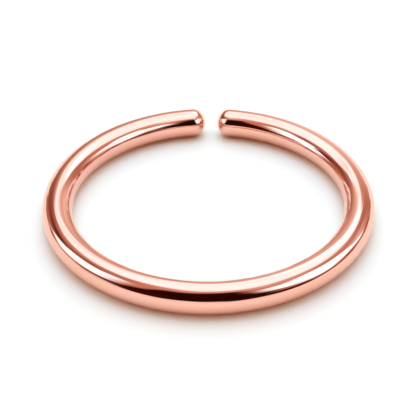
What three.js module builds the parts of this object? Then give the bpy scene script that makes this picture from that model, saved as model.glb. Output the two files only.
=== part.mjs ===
// A plain open nose ring: one length of round wire bent into a hoop, with two rounded ends that
// stop just short of each other. Millimetres, +Z up. The hoop lies flat, as it does on a table:
// the wire touches z = 0 all the way round, the middle of the hole is over the origin, and the
// gap between the ends is centred on +Y.
import * as THREE from "three";
import { LoftGeometry } from "three/addons/geometries/LoftGeometry.js";

// Sizes that are set by themselves
const wireDiameter = 1.0; // 18 gauge
const innerDiameter = 9.0; // across the hole
const endGap = 0.45; // straight across, from tip to tip
const endRounding = 0.45; // length of wire over which each end rounds off
const tipFlatDiameter = 0.1; // the small flat in the middle of each tip

// How finely the surface is divided
const wireSides = 24; // a multiple of 4, so that one side lies flat underneath
const bendSteps = 96; // along the wire, between the two rounded ends
const roundingSteps = 6; // along each rounded end

// Sizes that follow
const wireRadius = wireDiameter / 2;
const hoopRadius = (innerDiameter + wireDiameter) / 2; // to the middle of the wire
const tipAngle = Math.asin(endGap / 2 / hoopRadius); // from +Y to each tip, seen from the centre
const gapDirection = Math.PI / 2; // +Y
const wireAngle = 2 * Math.PI - 2 * tipAngle; // from the first tip right round to the second
const wireLength = wireAngle * hoopRadius;

// The angle, round the rounded end's quarter ellipse, at which its flat tip is left
const tipFlatAngle = Math.asin(tipFlatDiameter / wireDiameter);

// The wire's radius, and how far along the wire from the tip, at each step of a rounded end.
// It is a quarter of an ellipse, as deep as the rounding is long and as high as the wire's radius.
function roundingProfile() {
  const rows = [];
  for (let step = 0; step <= roundingSteps; step++) {
    const turn = THREE.MathUtils.lerp(tipFlatAngle, Math.PI / 2, step / roundingSteps);
    const fromTip = endRounding * (1 - Math.cos(turn) / Math.cos(tipFlatAngle));
    rows.push({ along: fromTip, radius: wireRadius * Math.sin(turn) });
  }
  return rows;
}

// Every section of the wire from the first tip to the second: a rounded end, the bend at the full
// radius, and the same rounded end the other way round.
function wireSections() {
  const firstEnd = roundingProfile();
  const secondEnd = firstEnd
    .map(({ along, radius }) => ({ along: wireLength - along, radius }))
    .reverse();
  const bend = [];
  for (let step = 1; step < bendSteps; step++) {
    const along = THREE.MathUtils.lerp(endRounding, wireLength - endRounding, step / bendSteps);
    bend.push({ along, radius: wireRadius });
  }
  return [...firstEnd, ...bend, ...secondEnd];
}

// One section's corners, square across the wire. Its sides lie wireRadius from the middle of the
// wire, so the hoop is exactly as wide and as high as its sizes say, and it rests on a flat side.
function sectionCorners({ along, radius }) {
  const direction = gapDirection + tipAngle + along / hoopRadius;
  const outward = new THREE.Vector3(Math.cos(direction), Math.sin(direction), 0);
  const upward = new THREE.Vector3(0, 0, 1);
  const middle = outward.clone().multiplyScalar(hoopRadius).addScaledVector(upward, wireRadius);
  const cornerRadius = radius / Math.cos(Math.PI / wireSides);
  const corners = [];
  for (let side = 0; side < wireSides; side++) {
    const turn = ((side + 0.5) / wireSides) * 2 * Math.PI;
    corners.push(
      middle
        .clone()
        .addScaledVector(upward, cornerRadius * Math.cos(turn))
        .addScaledVector(outward, cornerRadius * Math.sin(turn)),
    );
  }
  return corners;
}

// Polished rose gold
function roseGold() {
  return new THREE.MeshStandardMaterial({ color: 0xf2b8a0, metalness: 1, roughness: 0.08 });
}

function makeHoop() {
  const sections = wireSections().map(sectionCorners);
  const geometry = new LoftGeometry(sections, { capStart: true, capEnd: true });
  const hoop = new THREE.Mesh(geometry, roseGold());
  hoop.name = "hoop";
  return hoop;
}

const noseRing = new THREE.Group();
noseRing.name = "nose_ring";
noseRing.add(makeHoop());

export default noseRing;
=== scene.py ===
import math

import bpy
import numpy as np
from mathutils import Matrix, Vector


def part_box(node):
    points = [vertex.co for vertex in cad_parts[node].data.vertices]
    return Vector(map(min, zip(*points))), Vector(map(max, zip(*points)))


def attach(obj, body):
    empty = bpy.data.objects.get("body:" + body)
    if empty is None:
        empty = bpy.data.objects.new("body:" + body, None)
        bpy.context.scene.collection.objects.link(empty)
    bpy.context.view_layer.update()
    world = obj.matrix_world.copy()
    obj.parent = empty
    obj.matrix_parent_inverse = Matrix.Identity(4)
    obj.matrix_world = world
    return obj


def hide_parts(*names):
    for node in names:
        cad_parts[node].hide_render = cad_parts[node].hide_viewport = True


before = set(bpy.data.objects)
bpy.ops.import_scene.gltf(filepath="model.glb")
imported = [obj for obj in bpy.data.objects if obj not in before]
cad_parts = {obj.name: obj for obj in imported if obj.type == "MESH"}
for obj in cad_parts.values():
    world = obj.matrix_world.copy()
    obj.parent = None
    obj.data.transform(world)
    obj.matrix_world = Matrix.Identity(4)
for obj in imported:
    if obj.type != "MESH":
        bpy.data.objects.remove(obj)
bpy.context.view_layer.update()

# A plain open nose ring of polished rose gold wire, lying on a pale floor with its gap at the
# far side. Metres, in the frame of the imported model: the floor is z = 0 and the gap is on +Y.

scene = bpy.context.scene
hoopLow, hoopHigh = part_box("hoop")
wireRadius = (hoopHigh.z - hoopLow.z) / 2
hoopRadius = (hoopHigh.x - hoopLow.x) / 2 - wireRadius  # to the middle of the wire
ringCentre = Vector((0, 0, wireRadius))


def smoothStep(value, low, high):
    # 0 below low, 1 above high, and an even S between them
    share = np.clip((value - low) / (high - low), 0, 1)
    return share * share * (3 - 2 * share)


# Meshes

def meshObject(name, points, faces):
    mesh = bpy.data.meshes.new(name)
    mesh.from_pydata(points, [], faces)
    mesh.polygons.foreach_set("use_smooth", np.ones(len(mesh.polygons), bool))
    mesh.update()
    piece = bpy.data.objects.new(name, mesh)
    scene.collection.objects.link(piece)
    return piece


def gridFaces(rows, columns):
    # Quads between the rows of a grid whose columns close on themselves
    row, column = np.meshgrid(np.arange(rows - 1), np.arange(columns), indexing="ij")
    beside = (column + 1) % columns
    corners = (row * columns + column, row * columns + beside,
               (row + 1) * columns + beside, (row + 1) * columns + column)
    return np.stack(corners, axis=-1).reshape(-1, 4)


def fanFaces(row, columns, tip):
    # Triangles between one row of such a grid and a point that closes it
    column = np.arange(columns)
    start = row * columns
    return np.stack([start + column, start + (column + 1) % columns, np.full(columns, tip)], axis=-1)


# Camera

camera = {
    "azimuth": 1.54,         # degrees to the right of straight on
    "elevation": 35.3,       # degrees above the floor
    "distance": 0.03765,     # to the middle of the hoop
    "lens": 97.9,            # mm
    "sensorWidth": 36,       # mm
    "aimRight": -0.018,      # degrees that the view turns from the middle of the hoop
    "aimDown": 0.382,
    "roll": -0.5,            # degrees
    "clip": (0.001, 10),     # nearest and farthest that it sees
}


def makeCamera():
    turn, rise = math.radians(camera["azimuth"]), math.radians(camera["elevation"])
    back = Vector((math.sin(turn) * math.cos(rise), -math.cos(turn) * math.cos(rise), math.sin(rise)))
    data = bpy.data.cameras.new("camera")
    data.sensor_width = camera["sensorWidth"]
    data.lens = camera["lens"]
    data.clip_start, data.clip_end = camera["clip"]
    eye = bpy.data.objects.new("camera", data)
    look = (-back).to_track_quat("-Z", "Y").to_matrix().to_4x4()
    aim = (Matrix.Rotation(math.radians(-camera["aimDown"]), 4, "X")
           @ Matrix.Rotation(math.radians(-camera["aimRight"]), 4, "Y")
           @ Matrix.Rotation(math.radians(camera["roll"]), 4, "Z"))
    eye.matrix_world = Matrix.Translation(ringCentre + back * camera["distance"]) @ look @ aim
    scene.collection.objects.link(eye)
    scene.camera = eye


makeCamera()
print("camera in place")


# Shader maths

class Value:
    # A socket that can be used in sums: each operator adds one Math node
    def __init__(self, shader, socket):
        self.shader, self.socket = shader, socket

    def sum(self, operation, first, second):
        node = self.shader.add("ShaderNodeMath", {"operation": operation}, {0: first, 1: second})
        return Value(self.shader, node.outputs[0])

    def __add__(self, other):
        return self.sum("ADD", self, other)

    def __radd__(self, other):
        return self.sum("ADD", other, self)

    def __sub__(self, other):
        return self.sum("SUBTRACT", self, other)

    def __rsub__(self, other):
        return self.sum("SUBTRACT", other, self)

    def __mul__(self, other):
        return self.sum("MULTIPLY", self, other)

    def __rmul__(self, other):
        return self.sum("MULTIPLY", other, self)

    def __truediv__(self, other):
        return self.sum("DIVIDE", self, other)

    def above(self, least):
        return self.sum("MAXIMUM", self, least)

    def below(self, most):
        return self.sum("MINIMUM", self, most)

    def power(self, exponent):
        return self.sum("POWER", self, exponent)


class Shader:
    # One material's or the world's nodes
    def __init__(self, owner):
        owner.use_nodes = True
        self.tree = owner.node_tree
        self.tree.nodes.clear()

    def add(self, kind, settings=None, inputs=None):
        node = self.tree.nodes.new(kind)
        for key, setting in (settings or {}).items():
            setattr(node, key, setting)
        for key, given in (inputs or {}).items():
            if isinstance(given, Value):
                given = given.socket
            if isinstance(given, bpy.types.NodeSocket):
                self.tree.links.new(given, node.inputs[key])
            else:
                node.inputs[key].default_value = given
        return node

    def value(self, kind, settings=None, inputs=None, output=0):
        return Value(self, self.add(kind, settings, inputs).outputs[output])


# Hoop

hoopForm = {
    "endGap": 0.00045,       # straight across, between the two tips
    "endRounding": 0.00045,  # length of wire over which each end rounds off
    "stepsAlong": 640,
    "stepsRounding": 28,
    "stepsAround": 96,
}


def hoopSurface():
    # A point at distance s along the middle of the wire and angle a round it lies at
    # ((R + r cos a) cos q, (R + r cos a) sin q, w + r sin a), where q = quarter turn + half gap + s / R,
    # R is the hoop's radius and w the wire's. r is w, but over each rounding it falls to nothing
    # as a quarter of an ellipse: r = w sin t at s = rounding (1 - cos t).
    form = hoopForm
    tipAngle = math.asin(form["endGap"] / 2 / hoopRadius)
    length = (2 * math.pi - 2 * tipAngle) * hoopRadius
    turn = np.linspace(0, math.pi / 2, form["stepsRounding"])[1:]
    rounding = form["endRounding"] * (1 - np.cos(turn))
    bend = np.linspace(form["endRounding"], length - form["endRounding"], form["stepsAlong"])[1:-1]
    along = np.concatenate([rounding, bend, (length - rounding)[::-1]])
    radius = np.concatenate([np.sin(turn), np.ones(len(bend)), np.sin(turn)[::-1]]) * wireRadius
    around = np.arange(form["stepsAround"]) / form["stepsAround"] * 2 * math.pi
    s, a = np.meshgrid(along, around, indexing="ij")
    r = np.repeat(radius[:, None], len(around), axis=1)
    q = math.pi / 2 + tipAngle + s / hoopRadius
    grid = np.stack([(hoopRadius + r * np.cos(a)) * np.cos(q),
                     (hoopRadius + r * np.cos(a)) * np.sin(q),
                     wireRadius + r * np.sin(a)], axis=-1)
    straight = np.stack([s, r * np.cos(a), r * np.sin(a)], axis=-1)
    ends = np.array([math.pi / 2 + tipAngle, math.pi / 2 - tipAngle])
    tips = np.stack([hoopRadius * np.cos(ends), hoopRadius * np.sin(ends), [wireRadius] * 2], axis=-1)
    straightTips = np.array([[0, 0, 0], [length, 0, 0]])
    return grid, tips, straight, straightTips, length


def makeHoop():
    # Besides its shape, the mesh keeps where each point lies on the same wire drawn out
    # straight, and how far along the wire it is from the nearer tip
    grid, tips, straight, straightTips, length = hoopSurface()
    rows, columns = grid.shape[:2]
    points = np.concatenate([grid.reshape(-1, 3), tips])
    quads = gridFaces(rows, columns)[:, ::-1]
    firstFan = fanFaces(0, columns, rows * columns)
    lastFan = fanFaces(rows - 1, columns, rows * columns + 1)[:, ::-1]
    faces = quads.tolist() + firstFan.tolist() + lastFan.tolist()
    piece = meshObject("polished_hoop", points, faces)
    wire = piece.data.attributes.new("straightWire", "FLOAT_VECTOR", "POINT")
    straightPoints = np.concatenate([straight.reshape(-1, 3), straightTips])
    wire.data.foreach_set("vector", straightPoints.astype(np.float32).ravel())
    toTip = piece.data.attributes.new("toTip", "FLOAT", "POINT")
    nearest = np.minimum(straightPoints[:, 0], length - straightPoints[:, 0])
    toTip.data.foreach_set("value", nearest.astype(np.float32))
    return piece


roseGold = {
    "tone": (0.950, 0.515, 0.400),
    "toneDeep": (0.925, 0.480, 0.362),   # the tone it drifts to, in long clouds along the wire
    "driftLength": 0.0035,
    "driftWidth": 0.0009,
    "driftFrom": 0.35,                   # noise at which the drift starts
    "driftGain": 3.3,
    "roughness": 0.045,
    "linesRoughness": 0.05,              # added where the polishing lines are
    "linesFrom": 0.45,                   # noise at which they start to
    "linesGain": 3.0,
    "tipRoughness": 0.05,                # added at the two tips
    "tipReach": 0.0007,
    "lineLength": 0.004,                 # along the wire
    "lineWidth": 0.00009,
    "lineHeight": 0.0000050,
    "fineLength": 0.0024,
    "fineWidth": 0.000035,
    "fineHeight": 0.0000009,
}


def roseGoldMaterial():
    # Mirror-bright metal whose colour drifts a little along the wire. The polishing lines are
    # noise on the straightened wire, drawn out along it, in the height and in the roughness.
    look = roseGold
    material = bpy.data.materials.new("polished rose gold")
    shader = Shader(material)
    wire = shader.add("ShaderNodeAttribute", {"attribute_name": "straightWire"}).outputs["Vector"]
    toTip = shader.value("ShaderNodeAttribute", {"attribute_name": "toTip"}, None, "Fac")

    def noise(length, width, detail):
        drawnOut = shader.add("ShaderNodeVectorMath", {"operation": "MULTIPLY"},
                              {0: wire, 1: (1 / length, 1 / width, 1 / width)})
        return shader.value("ShaderNodeTexNoise", {"noise_dimensions": "3D"}, {
            "Vector": drawnOut.outputs[0], "Scale": 1.0, "Detail": detail, "Roughness": 0.5})

    drift = noise(look["driftLength"], look["driftWidth"], 1.0)
    coarse = noise(look["lineLength"], look["lineWidth"], 2.0)
    fine = noise(look["fineLength"], look["fineWidth"], 1.0)
    colour = shader.add("ShaderNodeMix", {"data_type": "RGBA"}, {
        "Factor": ((drift - look["driftFrom"]) * look["driftGain"]).above(0).below(1),
        "A": (*look["tone"], 1), "B": (*look["toneDeep"], 1)})
    nearTip = (1 - toTip / look["tipReach"]).above(0)
    inLines = ((fine - look["linesFrom"]) * look["linesGain"]).above(0)
    roughness = (look["roughness"] + look["linesRoughness"] * inLines
                 + look["tipRoughness"] * nearTip * nearTip)
    height = coarse * look["lineHeight"] + fine * look["fineHeight"]
    bump = shader.add("ShaderNodeBump", None, {"Strength": 1.0, "Distance": 1.0, "Height": height})
    surface = shader.add("ShaderNodeBsdfPrincipled", None, {
        "Base Color": colour.outputs[2],
        "Metallic": 1.0,
        "Roughness": roughness,
        "Normal": bump.outputs[0],
    })
    shader.add("ShaderNodeOutputMaterial", None, {"Surface": surface.outputs[0]})
    return material


hoop = makeHoop()
hoop.data.materials.append(roseGoldMaterial())
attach(hoop, "root")
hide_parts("hoop")
print("hoop made")


# Floor

floorLook = {
    "halfSide": 2.0,
    "albedo": (0.90, 0.90, 0.90),
}


def makeFloor():
    half = floorLook["halfSide"]
    corners = [(-half, -half, 0), (half, -half, 0), (half, half, 0), (-half, half, 0)]
    floor = meshObject("floor", corners, [(0, 1, 2, 3)])
    material = bpy.data.materials.new("pale paper")
    shader = Shader(material)
    surface = shader.add("ShaderNodeBsdfDiffuse", None, {"Color": (*floorLook["albedo"], 1)})
    shader.add("ShaderNodeOutputMaterial", None, {"Surface": surface.outputs[0]})
    floor.data.materials.append(material)


makeFloor()
print("floor laid")


# Light tent: a pale dome over a brown wall round the ring, with a lamp at each side and open
# towards the camera. Only the metal sees it. Places are in degrees: azimuth from +Y, which is
# straight behind, towards +X, and elevation above the floor. An edge is its elevation straight
# behind and at the camera's side, and the azimuths between which it goes from one to the other.

tent = {
    "radius": 0.040,
    "columns": 1080,
    "rows": 270,
    "farWall": (0.62, 0.42, 0.36),
    "sideWall": (0.63, 0.34, 0.25),
    "sideWallFrom": (3, 30),                 # azimuths over which it takes over from the far wall
    "clouds": (("shade", -65, 25, 38, 10, 1.0),   # azimuth, elevation, width, height, strength
               ("shade", -85, 44, 26, 15, 0.6),
               ("shade", -42, 15, 15, 10, 0.5),
               ("shade", 57, 25, 18, 13, 0.9),
               ("shade", 84, 48, 15, 6, 0.4),
               ("glow", 66, 23, 16, 9, 0.5),
               ("skirting", -25, 8, 10, 8, 0.9),
               ("skirting", 25, 8, 10, 8, 0.9)),
    "shade": (0.15, 0.02, 0.015),
    "glow": (1.5, 1.2, 1.1),
    "skirting": (0.26, 0.09, 0.08),
    "seam": (1.0, 0.9, 0.85),                # light seam that runs slantwise over the far wall
    "seamAt": (30, -0.8, 14, 0.9),           # elevation straight behind, slope, height, strength
    "seamEnds": (32, 48),                    # azimuths over which it fades out
    "dome": (1.33, 1.78, 2.11),
    "domeLeft": (35, 77, 30, 115),
    "domeRight": (35, 65, 25, 110),
    "domeRightRise": (0, 12, 120, 175),      # added on the right, so that both sides meet in front
    "domeSoft": (2.2, 6.5, 15, 90),          # softness of that edge, given in the same way
    # Bands along the dome's edge: how far above it, height, strength straight behind and beside
    "hem": (0.79, 0.57, 0.54),
    "hemAt": (-7, 4, 0.9, 0.75),
    "vein": (0.86, 0.84, 0.78),
    "veinsAt": ((6, 3, 0.9, 0.3),
                (22, 4, 0.4, 0.0)),
    "bandsBehind": 18,                       # width of what lies straight behind
    "bandsBeside": (40, 75),                 # azimuths over which the strength beside sets in
    "domeClouds": (("white", -17, 36, 4, 2, 0.9),
                   ("white", 14, 42, 18, 7, 1.0),
                   ("blush", -21, 39, 23, 5, 0.2),
                   ("blush", 6, 37, 5, 3, 0.3)),
    "white": (1.3, 2.5, 3.0),
    "blush": (0.85, 0.5, 0.48),
    "opening": (0.020, 0.003, 0.002),
    "openingLow": (137, 235),                # azimuths of its two sides, low down and high up
    "openingHigh": (151, 221),
    "openingBend": (24, 50),                 # elevations over which they go from low to high
    "openingSoft": (9, 5),
    "openingTop": (62, 5),                   # elevation and softness
    "lamp": (1.25, 2.0, 2.5),
    "lampSoft": 2.2,
    "leftLampTop": (8, 53, 52, 108),
    "leftLampFoot": (8.5, 42, 84, 155),
    "leftLampEnds": (57, 76, 108, 130),      # azimuths over which its far and near ends fade
    "rightLampTop": (8, 48, 54, 103),
    "rightLampFoot": (12, 38, 100, 160),
    "rightLampEnds": (56, 62, 132, 152),
    "strip": (0.050, 0.003, 0.001),          # dark strip under the lamps
    "stripSide": (0.30, 0.015, 0.003),       # its redder parts, at each side
    "stripLeft": (7, 30, 85, 150),
    "stripRight": (8, 20, 85, 150),
    "stripSoft": 2,
    "stripStarts": (30, 70),                 # azimuths over which it begins, darkens and ends
    "stripDarkens": (95, 125),
    "stripEnds": (150, 165),
    "lip": (1.0, 1.0, 1.0),                  # the floor's upturned edge
    "lipLeft": (3, 11, 70, 135),
    "lipRight": (3, 11, 105, 180),
    "lipSoft": 1.5,
    "lipWave": (30, 10, 10),                 # azimuth, width and height, on each side
    "lipBright": (0.96, 1.3, 1.32),          # its brighter parts
    "lipBrightAt": (47, 19),                 # azimuth and width, on each side
}


def direction(azimuth, elevation):
    a, e = np.radians(azimuth), np.radians(elevation)
    return np.stack([np.sin(a) * np.cos(e), np.cos(a) * np.cos(e), np.sin(e)], axis=-1)


def blend(first, second, share):
    return first + (second - first) * share


def edge(far, behind, front, begin, end):
    return blend(behind, front, smoothStep(far, begin, end))


def hump(value, middle, width):
    return np.exp(-((value - middle) / width) ** 2)


def tentGlow(azimuth, elevation):
    # The tent's light in each direction. Every part is laid over the ones before it by a mask.
    turn = (azimuth + 180) % 360 - 180
    far, left = abs(turn), turn < 0
    glow = np.ones(azimuth.shape + (3,)) * np.array(tent["farWall"])

    def lay(mask, colour):
        nonlocal glow
        glow = blend(glow, np.array(colour), mask[..., None])

    def cloud(place, height, width, tall, strength):
        return strength * hump(turn, place, width) * hump(elevation, height, tall)

    def below(height, soft):
        return 1 - smoothStep(elevation, height - soft, height + soft)

    def bySide(leftName, rightName):
        return np.where(left, edge(far, *tent[leftName]), edge(far, *tent[rightName]))

    def fadeIn(name):
        return smoothStep(far, *tent[name])

    lay(fadeIn("sideWallFrom"), tent["sideWall"])
    for colour, *place in tent["clouds"]:
        lay(cloud(*place), tent[colour])
    height, slope, tall, strength = tent["seamAt"]
    seam = strength * hump(elevation, height + slope * turn, tall)
    lay(seam * (1 - fadeIn("seamEnds")), tent["seam"])

    domeEdge = bySide("domeLeft", "domeRight") + ~left * edge(far, *tent["domeRightRise"])
    inDome = 1 - below(domeEdge, edge(far, *tent["domeSoft"]))

    def band(offset, tall, behind, beside):
        strength = behind * hump(far, 0, tent["bandsBehind"]) + beside * fadeIn("bandsBeside")
        return strength * hump(elevation - domeEdge, offset, tall)

    lay(band(*tent["hemAt"]), tent["hem"])
    lay(inDome, tent["dome"])
    for place in tent["veinsAt"]:
        lay(band(*place) * inDome, tent["vein"])
    for colour, *place in tent["domeClouds"]:
        lay(cloud(*place) * inDome, tent[colour])

    upper = smoothStep(elevation, *tent["openingBend"])
    begin, finish = (blend(low, high, upper) for low, high in zip(tent["openingLow"], tent["openingHigh"]))
    beginSoft, finishSoft = tent["openingSoft"]
    opening = smoothStep(turn % 360, begin - beginSoft, begin + beginSoft)
    opening *= 1 - smoothStep(turn % 360, finish - finishSoft, finish + finishSoft)
    lay(opening * below(*tent["openingTop"]), tent["opening"])

    strip = below(bySide("stripLeft", "stripRight"), tent["stripSoft"])
    darkens = fadeIn("stripDarkens")
    lay(strip * fadeIn("stripStarts") * (1 - darkens), tent["stripSide"])
    lay(strip * darkens * (1 - fadeIn("stripEnds")), tent["strip"])

    for side, onSide in (("left", left), ("right", ~left)):
        top, foot = edge(far, *tent[side + "LampTop"]), edge(far, *tent[side + "LampFoot"])
        farStart, farEnd, nearStart, nearEnd = tent[side + "LampEnds"]
        ends = smoothStep(far, farStart, farEnd) * (1 - smoothStep(far, nearStart, nearEnd))
        between = below(top, tent["lampSoft"]) * (1 - below(foot, tent["lampSoft"]))
        lay(between * ends * onSide, tent["lamp"])

    place, width, tall = tent["lipWave"]
    lipEdge = bySide("lipLeft", "lipRight") + tall * hump(far, place, width)
    bright = hump(far, *tent["lipBrightAt"])[..., None]
    lay(below(lipEdge, tent["lipSoft"]), blend(np.array(tent["lip"]), np.array(tent["lipBright"]), bright))
    return glow


def makeTent():
    rise, turn = np.meshgrid(np.linspace(0, 90, tent["rows"] + 1)[:-1],
                             np.arange(tent["columns"]) / tent["columns"] * 360, indexing="ij")
    rows, columns = rise.shape
    points = np.concatenate([direction(turn, rise).reshape(-1, 3), [[0, 0, 1]]]) * tent["radius"]
    faces = gridFaces(rows, columns).tolist() + fanFaces(rows - 1, columns, rows * columns).tolist()
    shell = meshObject("light_tent", points, faces)
    glow = np.concatenate([tentGlow(turn, rise).reshape(-1, 3), [tent["dome"]]])
    colours = np.concatenate([glow, np.ones((len(glow), 1))], axis=1).astype(np.float32)
    shell.data.attributes.new("glow", "FLOAT_COLOR", "POINT").data.foreach_set("color", colours.ravel())
    material = bpy.data.materials.new("lit tent")
    shader = Shader(material)
    seen = shader.add("ShaderNodeAttribute", {"attribute_name": "glow"})
    light = shader.add("ShaderNodeEmission", None, {"Color": seen.outputs["Color"]})
    shader.add("ShaderNodeOutputMaterial", None, {"Surface": light.outputs[0]})
    shell.data.materials.append(material)
    shell.visible_camera = shell.visible_diffuse = shell.visible_shadow = False


makeTent()
print("light tent set up")


# World: the soft light on the floor, which comes from overhead, from behind the ring and from both
# sides, and the plain backdrop that shows behind the floor

skyLight = {
    "allRound": (0.35, 0.08, 0.0),
    "lobes": ((0, 90, 10, (1.62, 2.62, 2.92)),   # azimuth, elevation, how narrow, colour
              (0, 25, 6, (1.15, 1.65, 1.1)),
              (0, 55, 6, (0.8, 1.2, 1.8)),
              (-90, 30, 6, (1.15, 1.15, 0.9)),
              (90, 30, 6, (1.15, 1.15, 0.9))),
    "backdrop": 0.985,
}


def makeWorld():
    # Each light is a soft lobe: its colour times the cosine to its middle, raised to a power
    world = bpy.data.worlds.new("studio")
    scene.world = world
    shader = Shader(world)
    place = shader.add("ShaderNodeTexCoord")
    total = skyLight["allRound"]
    for azimuth, elevation, narrow, colour in skyLight["lobes"]:
        facing = shader.value("ShaderNodeVectorMath", {"operation": "DOT_PRODUCT"}, {
            0: place.outputs["Generated"], 1: direction(azimuth, elevation).tolist()}, "Value")
        glow = shader.add("ShaderNodeVectorMath", {"operation": "SCALE"}, {
            "Vector": colour, "Scale": facing.above(0).power(narrow)})
        both = shader.add("ShaderNodeVectorMath", {"operation": "ADD"}, {0: total, 1: glow.outputs[0]})
        total = both.outputs[0]
    path = shader.add("ShaderNodeLightPath")
    soft = shader.add("ShaderNodeBackground", None, {"Color": total, "Strength": 1})
    plain = shader.add("ShaderNodeBackground", None, {
        "Color": (1, 1, 1, 1), "Strength": skyLight["backdrop"]})
    mixed = shader.add("ShaderNodeMixShader", None, {
        0: path.outputs["Is Camera Ray"], 1: soft.outputs[0], 2: plain.outputs[0]})
    shader.add("ShaderNodeOutputWorld", None, {"Surface": mixed.outputs[0]})


makeWorld()
scene.view_settings.view_transform = "Standard"
print("light set up")
